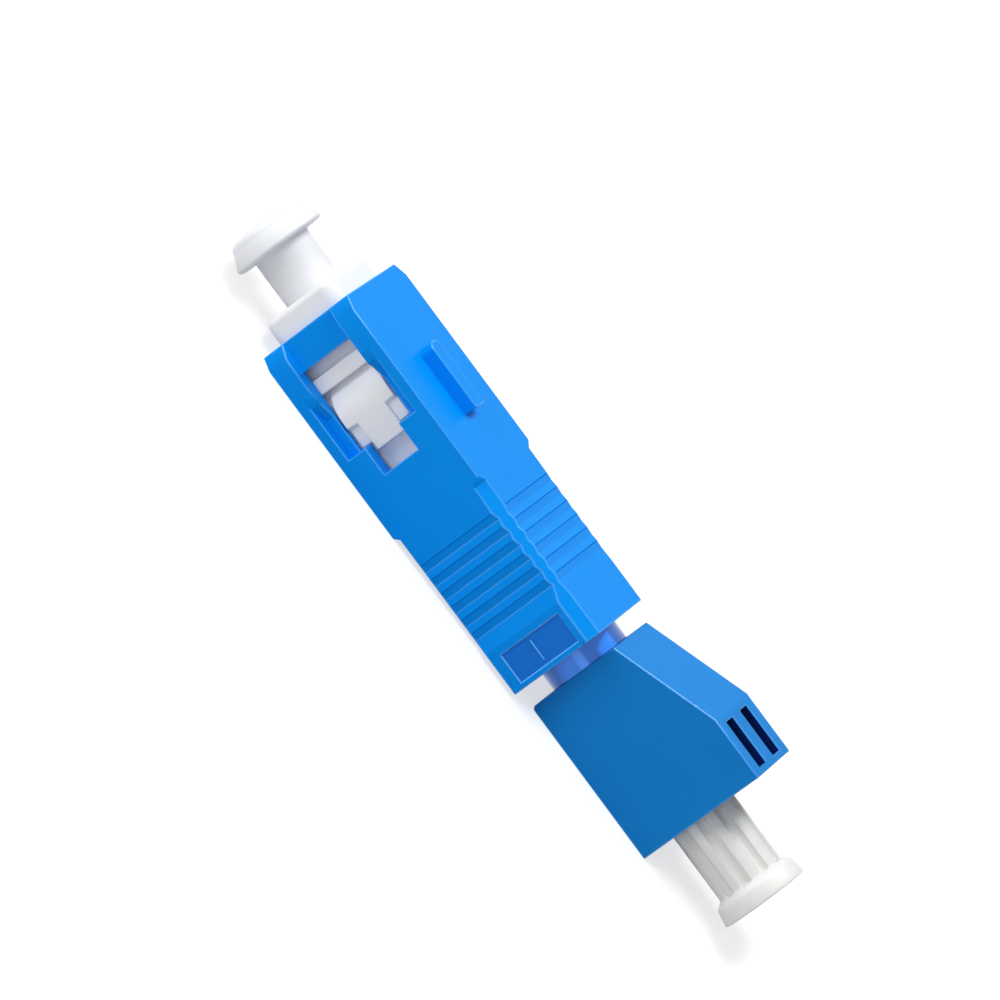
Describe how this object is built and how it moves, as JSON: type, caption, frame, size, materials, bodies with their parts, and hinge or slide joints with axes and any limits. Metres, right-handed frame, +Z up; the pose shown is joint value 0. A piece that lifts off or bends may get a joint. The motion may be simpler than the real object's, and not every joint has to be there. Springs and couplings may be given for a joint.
{
  "type": "fibre optic adapter",
  "caption": "Blue hybrid fibre adapter: a push-pull plug and a latching socket back to back on a bright metal barrel, with a milky dust cap on the plug and a fluted dust plug in the socket.",
  "frame": {"origin": "middle of the overall length and width, on the flat underside that the adapter lies on", "axes": "+X along the optical axis from the plug to the socket, +Z up towards the key and the latch"},
  "size_m": [0.0534, 0.009, 0.0099],
  "materials": {
    "grip_plastic": "satin moulded PBT, clear blue",
    "socket_plastic": "satin moulded PBT, blue",
    "frame_plastic": "satin moulded PBT, white",
    "zirconia": "ground and polished zirconia",
    "nickel_plate": "turned brass, bright nickel plate",
    "spring_steel": "drawn stainless wire",
    "fibre_glass": "bare silica fibre",
    "cap_plastic": "milky soft polyethylene",
    "plug_plastic": "satin white polyethylene"
  },
  "bodies": {
    "adapter_core": {"sc_plug_frame": "frame_plastic", "barrel": "nickel_plate", "ferrule_spring": "spring_steel", "lc_housing": "socket_plastic", "lc_sleeve_holder": "frame_plastic", "lc_split_sleeve": "zirconia"},
    "outer_housing": {"sc_outer_housing": "grip_plastic"},
    "ferrule_stub": {"sc_ferrule": "zirconia", "ferrule_flange": "nickel_plate", "lc_ferrule": "zirconia", "optical_fibre": "fibre_glass"},
    "sc_cap": {"sc_dust_cap": "cap_plastic"},
    "lc_plug": {"lc_dust_plug": "plug_plastic"}
  },
  "joints": [
    {"name": "grip_slide", "type": "slide", "parent": "adapter_core", "child": "outer_housing", "axis": [1, 0, 0], "range_m": [0, 0.0012]},
    {"name": "ferrule_float", "type": "slide", "parent": "adapter_core", "child": "ferrule_stub", "axis": [1, 0, 0], "range_m": [0, 0.001], "stiffness_N_per_m": 1200, "deforming": ["ferrule_spring"]},
    {"name": "cap_pull", "type": "slide", "parent": "ferrule_stub", "child": "sc_cap", "axis": [-1, 0, 0], "range_m": [0, 0.012]},
    {"name": "plug_pull", "type": "slide", "parent": "adapter_core", "child": "lc_plug", "axis": [1, 0, 0], "range_m": [0, 0.012]}
  ]
}
